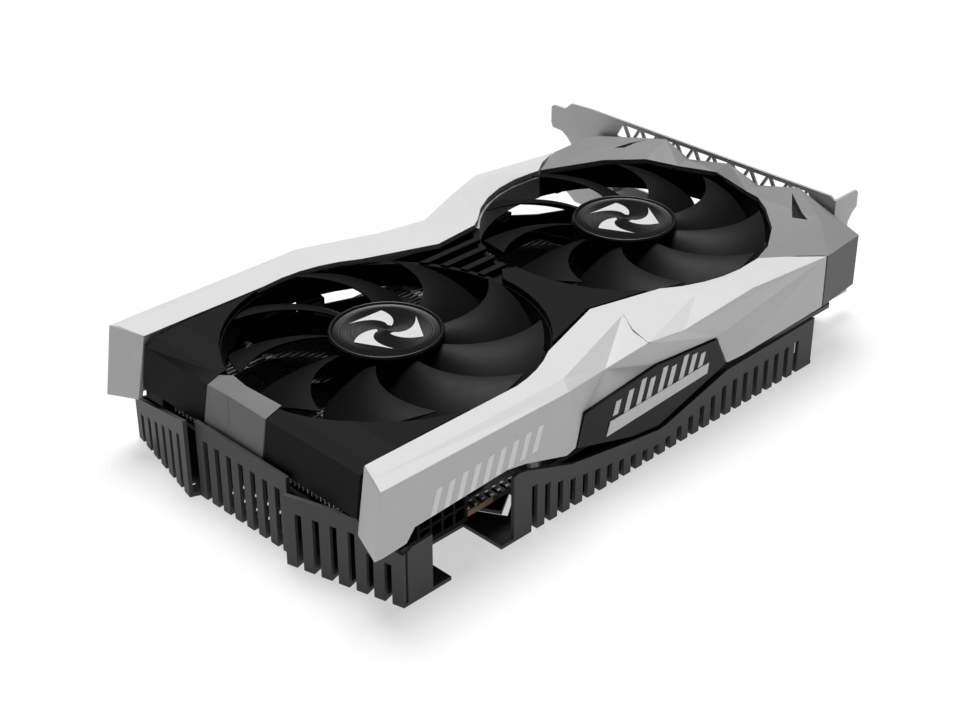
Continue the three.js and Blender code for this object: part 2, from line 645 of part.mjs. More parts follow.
// ---- shroud --------------------------------------------------------------------------
// Edges of the front trim, all from the tail end to the bracket end.
const FRONT = {
  inner: [
    [-99.4, -45.5, RIM_Z], [-78, -45.6, RIM_Z], [-57.3, -45.7, RIM_Z],
    ...rimArc(-1, -84, -58, 4), [-0.3, -31, RIM_Z], ...rimArc(1, -126.5, -82, 5), [59.3, -45.4, RIM_Z],
  ],
  crest: [
    [-103.2, -53, TOP_Z], [-35.75, -53.4, TOP_Z], [2.2, -41.3, TOP_Z], [27.1, -47.8, TOP_Z],
    [41.6, -48.2, TOP_Z], [66, -49.8, 38],
  ],
  valley: [2.2, -41.3, TOP_Z],
  ridge: [-2.6, -49, TOP_Z],
  outer: [
    [-104.8, FRONT_Y, 38.7], [-38, FRONT_Y, 38.2], [-19, -53.6, 35.7], [-4.6, -56.4, 39.2],
    [9.9, FRONT_Y, 37.9], [40.9, FRONT_Y, 39.6], [78, FRONT_Y, 36.6],
  ],
  plateTop: [[-30.6, -56.4, 28.2], [-1.4, -56.6, 31.2], [26, -56.8, 28.8]],
  bottom: [
    [-107.5, FRONT_Y, 19.3], [-96.8, FRONT_Y, 19.5], [-93.9, FRONT_Y, 23], [-60.8, FRONT_Y, 24.4],
    [-54.2, FRONT_Y, 23.2], [-37.9, FRONT_Y, 18.2], [-34.6, FRONT_Y, 19],
  ],
};

function frontTrim() {
  const { inner, crest, valley, ridge, outer, plateTop, bottom } = FRONT;
  const tailFoot = [-102.8, -46, 19.3];
  const plateRight = [31.4, FRONT_Y, 18.5];
  const rightBottom = [[38.9, FRONT_Y, 18], [78.3, FRONT_Y, 19]];
  const [, corner, dip, notch, cornerRight, peakRight, endTop] = outer;
  const triangles = [
    ...band(inner, crest),
    ...band(crest.slice(0, 2), outer.slice(0, 2)),
    ...fan([crest[1], corner, dip, valley]),
    ...fan([valley, dip, notch, ridge]),
    [valley, ridge, crest[3]],
    ...fan([crest[3], ridge, notch, cornerRight, peakRight]),
    [crest[3], peakRight, crest[4]],
    ...fan([crest[4], peakRight, endTop, crest[5]]),
    ...band(outer.slice(0, 2), bottom.slice(0, 6)),
    ...fan([corner, bottom[5], bottom[6], plateTop[0]]),
    [corner, plateTop[0], dip],
    ...fan([dip, plateTop[0], plateTop[1], notch]),
    ...fan([notch, plateTop[1], plateTop[2], cornerRight]),
    ...fan([endTop, peakRight, cornerRight, plateTop[2], plateRight, rightBottom[0], rightBottom[1]]),
    ...fan([inner[0], tailFoot, bottom[0], outer[0], crest[0]]),
  ];
  return shell(triangles, SKIN);
}

const REAR = {
  inner: [
    [-99.7, 45.9, RIM_Z], [-78, 45.8, RIM_Z], ...rimArc(-1, 98, 57, 5), [-2, 29.5, RIM_Z],
    [15, 31, RIM_Z], ...rimArc(1, 134, 82, 5), [59.2, 45.3, RIM_Z],
  ],
  crest: [
    [-102.6, 53.4, TOP_Z], [-36.2, 53.2, TOP_Z], [-11.4, 45.2, TOP_Z], [4.2, 41.8, TOP_Z],
    [27, 49.4, TOP_Z], [41, 51.6, TOP_Z], [66, 49.8, 38],
  ],
  outer: [
    [-103.6, REAR_Y, 39.2], [-36.2, 56.6, 39], [-9.5, 48.4, 38.2], [7.2, 45.4, 38], [27, 52.6, 38.4],
    [41, REAR_Y, 38.8], [78.6, REAR_Y, 35.3],
  ],
  bottom: [
    [-107, REAR_Y, 18], [-96, REAR_Y, 15], [-46, REAR_Y, 15], [-40, REAR_Y, 25], [-12, 54, 25], [8, 52, 25],
    [41, REAR_Y, 25], [78.6, REAR_Y, 22],
  ],
};

function rearTrim() {
  const { inner, crest, outer, bottom } = REAR;
  const tailFoot = [-103.6, 46, 19.4];
  const end = [[-99.7, 45.9, RIM_Z], [-102.6, 53.4, TOP_Z], outer[0], bottom[0], tailFoot];
  const triangles = [
    ...band(crest, inner),
    ...band(outer, crest),
    ...band(bottom, outer),
    ...fan(end),
  ];
  return shell(triangles, SKIN);
}

add('front_trim', frontTrim(), MATERIAL.silver);
add('rear_trim', rearTrim(), MATERIAL.silver);

// The bracket-end cover wraps the right opening and rises in three crests at the bracket.
function endCover() {
  const rim = [
    [79, 38.4], [50, 38.8], [32, 39.6], [18, 38.8], [0, 40.4], [-18, 38.9], [-27, 39.8], [-36, 39],
    [-50, 38], [-67, 38], [-78.5, 38.1],
  ].map(([degrees, z]) => rimArc(1, degrees, degrees, 1, OPENING_R, z)[0]);
  rim[0] = [59.8, 45.1, RIM_Z];
  const edge = [
    [98.8, REAR_Y, 35.6], [100, 24.6, 43.6], [100, 14.3, 39.4], [100, -2.4, 43], [100, -14.5, 39.2],
    [100, -30.3, 43.4], [100, -54.2, 35],
  ];
  const rearSide = [[79.4, REAR_Y, 35.2], [79.4, REAR_Y, 20], [98.8, REAR_Y, 20]];
  const frontSide = [[78.8, FRONT_Y, 36.5], [78.8, FRONT_Y, 19], [100, -54.2, 17.7]];
  const shoulder = [94.4, -43, 38.6];
  const rearShoulder = [90, 42.5, 38.9];
  const triangles = [
    ...fan([rearShoulder, rim[0], rim[1], rim[2], edge[1]]),
    ...fan([rearShoulder, edge[1], edge[0], rearSide[0], rim[0]]),
    [edge[1], rim[2], rim[3]],
    [edge[1], rim[3], edge[2]],
    [edge[2], rim[3], rim[4]],
    [edge[2], rim[4], edge[3]],
    [edge[3], rim[4], rim[5]],
    [edge[3], rim[5], edge[4]],
    [edge[4], rim[5], rim[6]],
    [edge[4], rim[6], edge[5]],
    ...fan([shoulder, edge[5], rim[6], rim[7], rim[8], rim[9]]),
    ...fan([shoulder, rim[9], rim[10], frontSide[0], edge[6], edge[5]]),
    ...fan([edge[6], frontSide[0], frontSide[1], frontSide[2]]),
    ...fan([edge[0], rearSide[2], rearSide[1], rearSide[0]]),
  ];
  const skin = shell(triangles, SKIN);
  const vent = slab([[97.6, -29.6], [89.2, -36.2], [91.4, -40.6]], 30, 50);
  const rearVent = slab([[98.6, 31], [90, 39], [91.3, 35.6]], 30, 50);
  return cut(skin, [vent, rearVent, ...aroundOf(frontTrim()), ...aroundOf(rearTrim())]);
}

add('end_cover', endCover(), MATERIAL.grey);

// The black body: a sloped roof at the tail, a ring wall round each opening and a bridge between them.
function shroudBody() {
  const roof = slabY([
    [-102.1, 23.2], [-100.3, 23.2], [-98.6, 33.7], [-88.4, 36.2], [-46, 36.2], [-46, 38.1], [-88, 38.1],
    [-96, 37], [-100.3, 35.5],
  ], -44.9, 45.3);
  const inset = box(-110, -84, -8.4, 16.8, 10, 50);
  const insetFloor = box(-110, -84, -8.4, 16.8, 33.6, 50);
  const [left, right] = [-FAN_X, FAN_X];
  const rings = [
    ring(left, 0, RING_Z, 36.2, OPENING_R, OPENING_R + 1.5, 48).subtract(insetFloor),
    ring(right, 0, RING_Z, 35.8, OPENING_R, OPENING_R + 1.5, 48),
  ];
  const bridge = slab([
    [-22, -34], [0, -27.5], [22, -34], [22, -12], [15, 4], [15, 12], [20, 28], [0, 26.5],
    [-20, 31], [-16, 14], [-14, 0], [-20, -12],
  ], 32.6, 34.6);
  const deck = slab([
    [-24, -37], [-0.3, -30], [21.5, -35.4], [12, -18], [7.6, -15.4], [7.6, -9], [5, -7.6],
    [5, 2], [0, 4.4], [-5, -1], [-8, -8], [-14, -20],
  ], 35, 38.2);
  const web = box(-3, 3, -25, 0, 34, 37);
  const ribs = [7.2, 13, 18.9, 24.6].map((y) => box(-18, 18, y, y + 2.2, 34, 37));
  const openings = [left, right].map((x) => post(x, 0, 0, 60, OPENING_R + 0.4, 48));
  const legs = [-44.4, 41].map((y) => box(-92.4, -89.4, y, y + 4, PCB.z1 + GAP, 36.6));
  const corner = box(-101.7, -100.5, 37, 44.7, 20.2, 24);
  const tail = cut(roof, [inset]).add(corner);
  return union([cut(union([tail, bridge, deck, web, ...ribs, ...legs]), openings), ...rings]);
}

add('shroud_body', shroudBody(), MATERIAL.black);

// The grey tail inset sits between the two black corners.
function tailInset() {
  const top = { rear: [-100.5, 16.5, 35.6], mid: [-100.7, 7.6, 36.2], front: [-100.5, -8.1, 35.6] };
  const lip = [[-94.2, 13, 37.4], [-95.3, 6.1, 37.5], [-94.8, -8.1, 37.4]];
  const face = {
    crease: [-101.6, 6, 30],
    rear: [-102.5, 16.5, 24.6],
    mid: [-102.4, 8.6, 23.2],
    front: [-102.5, -8.1, 23],
  };
  const back = [-96.4, 16.5, 37];
  return shell([
    ...fan([top.rear, top.mid, lip[0], back]),
    ...fan([top.mid, top.front, lip[2], lip[1], lip[0]]),
    ...fan([top.rear, face.rear, face.mid, face.crease, top.mid]),
    ...fan([top.mid, face.crease, face.mid, face.front, top.front]),
  ], 1.6);
}

add('tail_inset', tailInset(), MATERIAL.grey);

// ---- side plate with its light bar ------------------------------------------------------
const SIDE_PLATE = [
  [-33.9, 18.6], [-31.1, 28.2], [-1.4, 31], [26, 28.4], [30.6, 18.4], [1.1, 10.4], [-10.4, 11.8],
];
const sidePlate = slabY(SIDE_PLATE, FRONT_Y + 0.1, FRONT_Y + 2.1);
add('side_plate', cut(sidePlate, aroundOf(frontTrim())), MATERIAL.gloss);
const LIGHT_BAR = [[-22, 17], [-20.6, 21.4], [22.4, 22.4], [21.8, 19]];
add('light_bar', slabY(LIGHT_BAR, FRONT_Y - 0.2, FRONT_Y + 0.1), MATERIAL.light);

export default card;
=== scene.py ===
"""A dual-fan graphics card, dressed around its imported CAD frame. Lengths are in metres, +Z up.

The card lies on its backplate. +X points at the I/O bracket, +Y at the edge connector.
"""

import json
import math
import random

import bmesh
import bpy
from mathutils import Matrix, Vector
from mathutils.bvhtree import BVHTree


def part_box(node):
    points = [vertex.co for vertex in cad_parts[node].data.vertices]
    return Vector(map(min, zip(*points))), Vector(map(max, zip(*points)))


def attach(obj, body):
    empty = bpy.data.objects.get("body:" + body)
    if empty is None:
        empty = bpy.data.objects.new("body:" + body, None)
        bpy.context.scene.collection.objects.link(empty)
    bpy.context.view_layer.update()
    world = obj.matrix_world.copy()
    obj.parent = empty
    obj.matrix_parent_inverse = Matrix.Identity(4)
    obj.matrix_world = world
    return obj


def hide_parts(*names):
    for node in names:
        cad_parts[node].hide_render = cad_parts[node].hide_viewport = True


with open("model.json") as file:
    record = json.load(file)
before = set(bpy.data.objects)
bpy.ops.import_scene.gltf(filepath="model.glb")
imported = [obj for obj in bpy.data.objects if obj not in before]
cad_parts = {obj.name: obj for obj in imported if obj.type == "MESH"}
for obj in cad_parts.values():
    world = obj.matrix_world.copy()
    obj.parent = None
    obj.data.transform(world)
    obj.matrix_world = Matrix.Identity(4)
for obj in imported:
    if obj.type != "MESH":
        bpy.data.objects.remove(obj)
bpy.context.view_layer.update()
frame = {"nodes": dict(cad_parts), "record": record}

MM = 0.001
SIDES = {"left": -1, "right": 1}
SHAFT_LOW, SHAFT_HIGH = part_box("fan_shaft_left")
FAN_X = abs(SHAFT_LOW.x + SHAFT_HIGH.x) / 2
BLADE_COUNT = 9
BLADE_TIP_R = 44 * MM
HUB_R = 16.4 * MM
FRONT_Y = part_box("backplate")[0].y
FLOOR_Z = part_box("backplate")[0].z
BOARD_T = 1.6 * MM


# ---- mesh helpers ------------------------------------------------------------------------
def add_object(name, data):
    """A mesh, camera or light as a new object in the scene."""
    made = bpy.data.objects.new(name, data)
    bpy.context.scene.collection.objects.link(made)
    return made


def mesh_object(name, vertices, faces):
    """A piece from its points in metres and its faces."""
    mesh = bpy.data.meshes.new(name)
    mesh.from_pydata([tuple(v) for v in vertices], [], faces)
    mesh.validate()
    return add_object(name, mesh)


def from_bmesh(name, bm):
    """A piece from a finished bmesh, with its faces turned outward."""
    bmesh.ops.recalc_face_normals(bm, faces=bm.faces)
    mesh = bpy.data.meshes.new(name)
    bm.to_mesh(mesh)
    bm.free()
    return add_object(name, mesh)


def add_block(bm, low, high):
    """A block between two corners, in millimetres."""
    low, high = Vector(low) * MM, Vector(high) * MM
    size = high - low
    matrix = Matrix.Translation((low + high) / 2) @ Matrix.Diagonal((*size, 1))
    bmesh.ops.create_cube(bm, size=1, matrix=matrix)


def add_prism(bm, outline, z0, z1):
    """An outline in X and Y, in millimetres, raised from z0 to z1."""
    low = [bm.verts.new((x * MM, y * MM, z0 * MM)) for x, y in outline]
    high = [bm.verts.new((x * MM, y * MM, z1 * MM)) for x, y in outline]
    count = len(outline)
    bm.faces.new(low[::-1])
    bm.faces.new(high)
    for i in range(count):
        j = (i + 1) % count
        bm.faces.new((low[i], low[j], high[j], high[i]))


def add_side_prism(bm, outline, y0, y1):
    """An outline in X and Z, in millimetres, swept from y0 to y1."""
    near = [bm.verts.new((x * MM, y0 * MM, z * MM)) for x, z in outline]
    far = [bm.verts.new((x * MM, y1 * MM, z * MM)) for x, z in outline]
    count = len(outline)
    bm.faces.new(near)
    bm.faces.new(far[::-1])
    for i in range(count):
        j = (i + 1) % count
        bm.faces.new((near[i], far[i], far[j], near[j]))


def lathe(name, profile, centre, sides=96):
    """A profile of (radius, height) in millimetres, turned about the vertical at a centre."""
    x, y = centre
    vertices = []
    faces = []
    rows = []
    for r, z in profile:
        if r == 0:
            rows.append([len(vertices)])
            vertices.append((x, y, z * MM))
            continue
        rows.append(list(range(len(vertices), len(vertices) + sides)))
        for i in range(sides):
            a = 2 * math.pi * i / sides
            vertices.append((x + r * MM * math.cos(a), y + r * MM * math.sin(a), z * MM))
    for low, high in zip(rows, rows[1:]):
        for i in range(sides):
            j = (i + 1) % sides
            corners = [low[i % len(low)], low[j % len(low)],
                       high[j % len(high)], high[i % len(high)]]
            faces.append(tuple(dict.fromkeys(corners)))
    return mesh_object(name, vertices, faces)


def bevel(piece, width, segments=2, angle=20):
    """Rounds edges sharper than an angle in degrees by a width in millimetres."""
    weld = piece.modifiers.new("weld", "WELD")
    weld.merge_threshold = 0.002 * MM
    edge = piece.modifiers.new("bevel", "BEVEL")
    edge.width = width * MM
    edge.segments = segments
    edge.limit_method = "ANGLE"
    edge.angle_limit = math.radians(angle)
    edge.harden_normals = True


def smooth(piece, angle):
    """Smooth shading that keeps edges sharper than an angle in degrees."""
    piece.data.polygons.foreach_set("use_smooth", [True] * len(piece.data.polygons))
    piece.data.set_sharp_from_angle(angle=math.radians(angle))


def place(piece, body, slot, material, *replaced):
    """Gives a piece its body, its material and the CAD nodes it stands for. The record slot is not
    used.
    """
    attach(piece, body)
    piece.data.materials.clear()
    piece.data.materials.append(material)
    if replaced:
        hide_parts(*replaced)
    return piece


# ---- materials -----------------------------------------------------------------------------
class Graph:
    """A small wrapper to write a material's nodes in few lines."""

    def __init__(self, name):
        self.material = bpy.data.materials.new(name)
        self.material.use_nodes = True
        self.tree = self.material.node_tree
        self.shader = self.tree.nodes["Principled BSDF"]
        self.where = self.tree.nodes.new("ShaderNodeTexCoord").outputs["Object"]

    def node(self, kind, **values):
        """A node, with each value set on its attribute or input of that name."""
        made = self.tree.nodes.new("ShaderNode" + kind)
        for key, value in values.items():
            if hasattr(made, key):
                setattr(made, key, value)
            else:
                made.inputs[key].default_value = value
        return made

    def link(self, source, target):
        self.tree.links.new(source, target)

    def drive(self, socket, source):
        """Feeds one of the shader's own sockets."""
        self.link(source, self.shader.inputs[socket])

    def fix(self, socket, value):
        """Sets one of the shader's own sockets, the same all over."""
        self.shader.inputs[socket].default_value = value

    def noise(self, scale, detail=4.0, roughness=0.55, stretch=None):
        """Noise over the piece's own space, which may be stretched along an axis."""
        made = self.node("TexNoise", Scale=scale, Detail=detail, Roughness=roughness)
        where = self.where
        if stretch:
            mapping = self.node("Mapping")
            mapping.inputs["Scale"].default_value = stretch
            self.link(where, mapping.inputs["Vector"])
            where = mapping.outputs["Vector"]
        self.link(where, made.inputs["Vector"])
        return made.outputs["Fac"]

    def ramp(self, source, *stops):
        """A value as a colour, through stops of (position, colour)."""
        made = self.node("ValToRGB")
        ramp = made.color_ramp
        while len(ramp.elements) < len(stops):
            ramp.elements.new(0.5)
        for element, (position, colour) in zip(ramp.elements, stops):
            element.position = position
            element.color = (*colour, 1)
        self.link(source, made.inputs["Fac"])
        return made.outputs["Color"]

    def spread(self, source, low, high):
        """A value from 0 to 1, spread from low to high."""
        made = self.node("MapRange")
        made.inputs["To Min"].default_value = low
        made.inputs["To Max"].default_value = high
        self.link(source, made.inputs["Value"])
        return made.outputs["Result"]

    def bump(self, *layers):
        """Bumps of (height output, strength, distance in millimetres), one over the other."""
        normal = None
        for height, strength, distance in layers:
            made = self.node("Bump")
            made.inputs["Strength"].default_value = strength
            made.inputs["Distance"].default_value = distance * MM
            self.link(height, made.inputs["Height"])
            if normal is not None:
                self.link(normal, made.inputs["Normal"])
            normal = made.outputs["Normal"]
        self.drive("Normal", normal)


def grey(value):
    """An sRGB grey, very slightly blue, as a linear colour."""
    linear = ((value + 0.055) / 1.055) ** 2.4
    return (linear, linear, linear * 1.01)


def tint(r, g, b):
    """An sRGB colour as a linear one."""
    return tuple(((c + 0.055) / 1.055) ** 2.4 for c in (r, g, b))


def painted(name, tone, roughness, grain, metallic=0.0, mottling=0.012, specular=0.5):
    """Moulded or painted skin: slight mottling, fine grain and uneven gloss."""
    g = Graph(name)
    swing = 4 * mottling
    low, high = [tuple(max(0.0, c * k) for c in tone) for k in (1 - swing, 1 + swing)]
    g.drive("Base Color", g.ramp(g.noise(90), (0.3, low), (0.7, high)))
    g.drive("Roughness", g.spread(g.noise(260, 3), roughness - 0.05, roughness + 0.05))
    g.bump((g.noise(5200, 2), grain, 0.02), (g.noise(700, 3), grain * 0.5, 0.04))
    g.fix("Metallic", metallic)
    g.fix("Specular IOR Level", specular)
    return g.material


def rolled(name, tone, roughness, along=(1, 1, 1), streak=0.3, metallic=1.0):
    """Rolled or brushed metal with streaks along one direction."""
    g = Graph(name)
    low, high = [tuple(c * k for c in tone) for k in (0.82, 1.12)]
    streaks = g.noise(900, 3, 0.6, stretch=along)
    g.drive("Base Color", g.ramp(streaks, (0.25, low), (0.75, high)))
    g.drive("Roughness", g.spread(g.noise(150, 4), roughness - 0.07, roughness + 0.1))
    g.bump((streaks, streak, 0.02))
    g.fix("Metallic", metallic)
    return g.material


def turned_face(name, tone, centre):
    """Glossy black with turning marks in rings about a fan axis."""
    g = Graph(name)
    mapping = g.node("Mapping")
    mapping.inputs["Location"].default_value = (-centre[0], -centre[1], 0)
    g.link(g.where, mapping.inputs["Vector"])
    flat = g.node("VectorMath", operation="MULTIPLY")
    flat.inputs[1].default_value = (1, 1, 0)
    g.link(mapping.outputs["Vector"], flat.inputs[0])
    radius = g.node("VectorMath", operation="LENGTH")
    g.link(flat.outputs["Vector"], radius.inputs[0])
    rings = g.node("TexNoise", Scale=2600.0, Detail=3.0, noise_dimensions="1D")
    g.link(radius.outputs["Value"], rings.inputs["W"])
    low, high = [tuple(c * k for c in tone) for k in (0.5, 2.2)]
    g.drive("Base Color", g.ramp(rings.outputs["Fac"], (0.35, low), (0.65, high)))
    g.drive("Roughness", g.spread(rings.outputs["Fac"], 0.22, 0.42))
    g.bump((rings.outputs["Fac"], 0.5, 0.02))
    tangent = g.node("Tangent")
    tangent.direction_type = "RADIAL"
    tangent.axis = "Z"
    g.drive("Tangent", tangent.outputs["Tangent"])
    g.fix("Anisotropic", 0.75)
    g.fix("Metallic", 0.6)
    return g.material


def board_skin(name):
    """Black solder mask over faint copper tracks."""
    g = Graph(name)
    tracks = g.node("TexVoronoi", feature="DISTANCE_TO_EDGE", Scale=420.0)
    g.link(g.where, tracks.inputs["Vector"])
    track, mask = tint(0.13, 0.14, 0.13), tint(0.055, 0.06, 0.058)
    stops = ((0.0, track), (0.06, track), (0.1, mask))
    g.drive("Base Color", g.ramp(tracks.outputs["Distance"], *stops))
    g.drive("Roughness", g.spread(g.noise(300), 0.28, 0.45))
    g.bump((tracks.outputs["Distance"], 0.15, 0.03))
    return g.material


def diffuser(name, tone):
    """White plastic that light goes a little way into."""
    g = Graph(name)
    low = tuple(c * 0.94 for c in tone)
    g.drive("Base Color", g.ramp(g.noise(400), (0.3, low), (0.7, tone)))
    g.drive("Roughness", g.spread(g.noise(900), 0.3, 0.42))
    g.bump((g.noise(2500), 0.05, 0.02))
    g.fix("Subsurface Weight", 0.15)
    g.fix("Subsurface Radius", (MM, MM, MM))
    return g.material


MATERIAL = {
    "silver": painted("silver_paint", grey(0.83), 0.5, 0.05, mottling=0.004, specular=0.35),
    "grey": painted("grey_paint", grey(0.54), 0.5, 0.08, mottling=0.006, specular=0.3),
    "inset": painted("dark_grey_paint", grey(0.46), 0.5, 0.08, mottling=0.006, specular=0.25),
    # The end cover's front side: its grey paint made darker, painted shade.
    "cover_painted_shade": painted("shaded_grey_paint", grey(0.4), 0.5, 0.08, mottling=0.006, specular=0.2),
    "black": painted("black_plastic", grey(0.095), 0.55, 0.12, specular=0.07),
    "blade": painted("blade_plastic", grey(0.06), 0.46, 0.05, specular=0.1),
    "gloss": painted("gloss_black", grey(0.05), 0.2, 0.02, specular=0.12),
    "sheet": painted("dark_sheet", grey(0.29), 0.5, 0.1, specular=0.2),
    "header": painted("header_plastic", grey(0.045), 0.55, 0.1, specular=0.06),
    "chip": painted("chip_epoxy", grey(0.12), 0.6, 0.2, specular=0.2),
    "ferrite": painted("ferrite", grey(0.3), 0.6, 0.3, specular=0.3),
    "steel": painted("bracket_steel", grey(0.74), 0.42, 0.03, metallic=0.25, mottling=0.005,
                     specular=0.4),
    "aluminium": rolled("fin_aluminium", grey(0.8), 0.4, (0.05, 1, 1), 0.12, metallic=0.6),
    "can": rolled("capacitor_can", grey(0.75), 0.3, (1, 1, 0.1), 0.1),
    "nickel": rolled("nickel_plating", tint(0.55, 0.53, 0.5), 0.3, (0.1, 1, 1), 0.1),
    "copper": rolled("copper", tint(0.78, 0.47, 0.32), 0.3, (0.1, 1, 1), 0.15),
    "gold": rolled("gold_plating", tint(0.86, 0.68, 0.35), 0.25, (1, 0.1, 1), 0.1),
    "brass": rolled("brass", tint(0.78, 0.64, 0.33), 0.3, (1, 1, 0.1), 0.1),
    "die": rolled("silicon", tint(0.4, 0.43, 0.48), 0.12, (1, 1, 1), 0.02, metallic=0.7),
    "pale": painted("pale_print", grey(0.97), 0.5, 0.03, mottling=0.004, specular=0.3),
    "laminate": painted("bare_laminate", tint(0.6, 0.47, 0.36), 0.6, 0.2, mottling=0.03,
                        specular=0.2),
    "board": board_skin("solder_mask"),
    "light": diffuser("light_diffuser", grey(0.86)),
}

# The material of each CAD node, by the slot that the record gives it.
SLOT_MATERIAL = {
    "silver_plastic": "silver", "grey_plastic": "grey", "black_plastic": "black",
    "blade_plastic": "blade", "hub_gloss": "gloss", "light_diffuser": "light",
    "dark_sheet": "sheet", "bracket_steel": "steel", "fin_aluminium": "aluminium",
    "copper": "copper", "brass": "brass", "gold": "gold", "board": "board", "chip": "chip",
    "die": "die", "ferrite": "ferrite", "can": "can",
}

# The edge widths, in millimetres, of the CAD nodes that show most. The others have EDGE_WIDTH.
EDGE_WIDTHS = {
    "front_trim": 0.35, "rear_trim": 0.35, "end_cover": 0.3, "tail_inset": 0.25,
    "shroud_body": 0.25, "backplate": 0.18, "io_bracket": 0.12, "side_plate": 0.3,
    "power_connector": 0.15,
}
EDGE_WIDTH = 0.1

# Faces of the end cover beyond this Y that don't face up are its front side, which gets a darker
# grey as painted shade.
COVER_SIDE_Y = -51 * MM
COVER_SIDE_NORMAL_Z = 0.3


def dress_cad_nodes():
    """A material and softened edges for every CAD node."""
    for row in frame["record"]["subparts"]:
        name = row["node"]
        node = frame["nodes"][name]
        node.data.materials.clear()
        node.data.materials.append(MATERIAL[SLOT_MATERIAL[row["material_slot"]]])
        bevel(node, EDGE_WIDTHS.get(name, EDGE_WIDTH), angle=12 if name in EDGE_WIDTHS else 25)
    frame["nodes"]["power_connector"].data.materials[0] = MATERIAL["header"]
    frame["nodes"]["tail_inset"].data.materials[0] = MATERIAL["inset"]
    cover = frame["nodes"]["end_cover"].data
    # The cover's front faces take the darker grey: painted shade.
    cover.materials.append(MATERIAL["cover_painted_shade"])
    for face in cover.polygons:
        if face.center.y < COVER_SIDE_Y and face.normal.z < COVER_SIDE_NORMAL_Z:
            face.material_index = 1


# ---- fans ----------------------------------------------------------------------------------
def blade_surface(angle, across=12, along=16):
    """Rows of points on a swept blade's middle surface, root to tip, leading edge first."""
    sweep = math.radians(27)
    sunk = 0.8 * MM
    rows = []
    for i in range(along + 1):
        t = i / along
        r = HUB_R - sunk + (BLADE_TIP_R - HUB_R + sunk) * t
        lead = angle - sweep + sweep * t ** 1.6
        chord = math.radians(33 + 2 * t)
        top = (37.0 + 1.1 * t ** 0.7) * MM
        drop = (9.3 - 0.5 * t) * MM
        row = []
        for j in range(across + 1):
            s = j / across
            fall = 0.25 * s + 0.75 * s ** 1.9
            theta = lead - chord * s
            row.append(Vector((r * math.cos(theta), r * math.sin(theta), top - drop * fall)))
        rows.append(row)
    return rows


def rotor(side, name):
    """All the blades of a fan as one piece. Each is a thin closed sheet, thinner at its tip."""
    centre = Vector((SIDES[side] * FAN_X, 0, 0))
    first = math.radians(5)
    root_half, thinning = 0.62 * MM, 0.3 * MM
    vertices = []
    faces = []
    for k in range(BLADE_COUNT):
        rows = blade_surface(first + 2 * math.pi * k / BLADE_COUNT)
        start = len(vertices)
        width = len(rows[0])
        half = [root_half - thinning * i / (len(rows) - 1) for i in range(len(rows))]
        for sign in (1, -1):
            for i, row in enumerate(rows):
                for j, point in enumerate(row):
                    s = j / (width - 1)
                    thick = half[i] * (0.35 + 0.65 * math.sin(math.pi * min(1, s * 0.9 + 0.08)))
                    vertices.append(centre + point + Vector((0, 0, sign * thick)))
        layer = len(rows) * width
        for i in range(len(rows) - 1):
            for j in range(width - 1):
                a = start + i * width + j
                faces.append((a, a + 1, a + width + 1, a + width))
                b = a + layer
                faces.append((b, b + width, b + width + 1, b + 1))
            a = start + i * width
            faces.append((a, a + width, a + width + layer, a + layer))
            a += width - 1
            faces.append((a + width, a, a + layer, a + width + layer))
        for j in range(width - 1):
            a = start + j
            faces.append((a + 1, a, a + layer, a + 1 + layer))
            a += (len(rows) - 1) * width
            faces.append((a, a + 1, a + 1 + layer, a + layer))
    piece = mesh_object(name, vertices, faces)
    smooth(piece, 50)
    return piece


def hub(side):
    """The rotor's cup with its rounded shoulder and a shallow step below it."""
    inside = [(0, 37.2), (14.9, 37.2), (14.9, 28.4)]
    wall = [(16.0, 28.4), (16.3, 28.7), (16.4, 29.4), (16.4, 36.2)]
    step = [(16.2, 36.6), (16.2, 37.0), (16.4, 37.4), (16.4, 38.2), (15.9, 38.6)]
    profile = [*inside, *wall, *step, (0, 38.6)]
    piece = lathe(f"hub_cup_{side}", profile, (SIDES[side] * FAN_X, 0))
    smooth(piece, 40)
    return piece


def cap(side):
    """The cap: a thick rounded rim round a slightly dished, turned face."""
    dish = [(0, 39.25), (6, 39.22), (12, 39.12), (14.9, 39.0)]
    rim = [(15.2, 39.2), (15.3, 39.5), (15.6, 39.68), (15.9, 39.68), (16.2, 39.45),
           (16.35, 39.1), (16.3, 38.7)]
    profile = [*dish, *rim, (15.8, 38.6), (0, 38.6)]
    piece = lathe(f"hub_cap_face_{side}", profile, (SIDES[side] * FAN_X, 0), 128)
    smooth(piece, 50)
    return piece


def emblem(side):
    """A plain mark: three curved petals, as on a fan symbol."""
    centre = SIDES[side] * FAN_X / MM
    bm = bmesh.new()
    steps = 14
    for k in range(3):
        turn = math.radians(120 * k + 12)
        lead = []
        trail = []
        for i in range(steps + 1):
            t = i / steps
            r = 2.6 + 8.6 * t
            lead.append((r, turn + 0.75 * t))
            trail.append((r, turn + 0.5 + 0.75 * t + 0.62 * math.sin(math.pi * t ** 1.3 / 2)))
        ring = [(centre + r * math.cos(a), r * math.sin(a)) for r, a in lead + trail[::-1]]
        add_prism(bm, ring, 39.0, 39.36)
    return from_bmesh(f"hub_mark_{side}", bm)


def make_fans():
    """Blades, hub, cap and mark of both fans, each riding on its own fan."""
    for side in SIDES:
        body = f"{side}_fan"
        blades = rotor(side, f"rotor_blades_{side}")
        place(blades, body, "blade_plastic", MATERIAL["blade"], f"fan_rotor_{side}")
        place(hub(side), body, "blade_plastic", MATERIAL["blade"])
        face = turned_face(f"turned_black_{side}", grey(0.13), (SIDES[side] * FAN_X, 0))
        place(cap(side), body, "hub_gloss", face, f"hub_cap_{side}")
        mark = place(emblem(side), body, "light_diffuser", MATERIAL["light"])
        bevel(mark, 0.05, 1)


